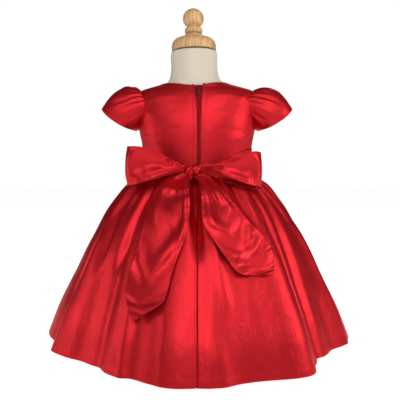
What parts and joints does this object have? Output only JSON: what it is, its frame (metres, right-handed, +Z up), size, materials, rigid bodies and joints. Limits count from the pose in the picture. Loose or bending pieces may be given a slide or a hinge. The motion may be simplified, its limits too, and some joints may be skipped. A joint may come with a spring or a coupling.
{
  "type": "toddler party dress on a dress form",
  "caption": "Satin toddler party dress with cap sleeves, a flared skirt, a back zip and a big bow at the waist, worn by a limbless dress form on a stand.",
  "frame": {"origin": "centre of the stand base's underside, on the surface it stands on", "axes": "+Z up through the neck; the back of the dress, with the zip and the bow, faces -Y; +X is on the right of a viewer who looks at that back"},
  "size_m": [0.5418, 0.5474, 0.6081],
  "materials": {
    "satin": "duchess satin, soft directional sheen",
    "ribbon": "satin ribbon cut from the same cloth",
    "zip": "woven tape with a nylon coil",
    "enamel": "dark red enamel",
    "linen": "smooth cream jersey over padding",
    "felt": "dark felt",
    "wood": "turned pale wood, satin varnish",
    "steel": "drawn tube",
    "stand_paint": "cream powder coat"
  },
  "bodies": {
    "dress_on_form": {"bodice_front": "satin", "bodice_back_left": "satin", "bodice_back_right": "satin", "skirt_front": "satin", "skirt_back_left": "satin", "skirt_back_right": "satin", "sleeve_left": "satin", "sleeve_right": "satin", "sash_band": "ribbon", "bow_knot": "ribbon", "bow_loop_left": "ribbon", "bow_loop_right": "ribbon", "bow_tail_left": "ribbon", "bow_tail_right": "ribbon", "zip_tape": "zip", "zip_slider": "enamel", "form_torso": "linen", "cap_seal": "felt", "neck_cap": "wood", "finial": "wood", "form_post": "steel", "form_base": "stand_paint"},
    "pull_tab": {"zip_pull": "enamel"}
  },
  "joints": [
    {"name": "pull_tab_hinge", "type": "hinge", "parent": "dress_on_form", "child": "pull_tab", "pos_m": [0.0027, -0.05651, 0.45188], "axis": [-1, 0, 0], "range_deg": [0, 150]}
  ]
}
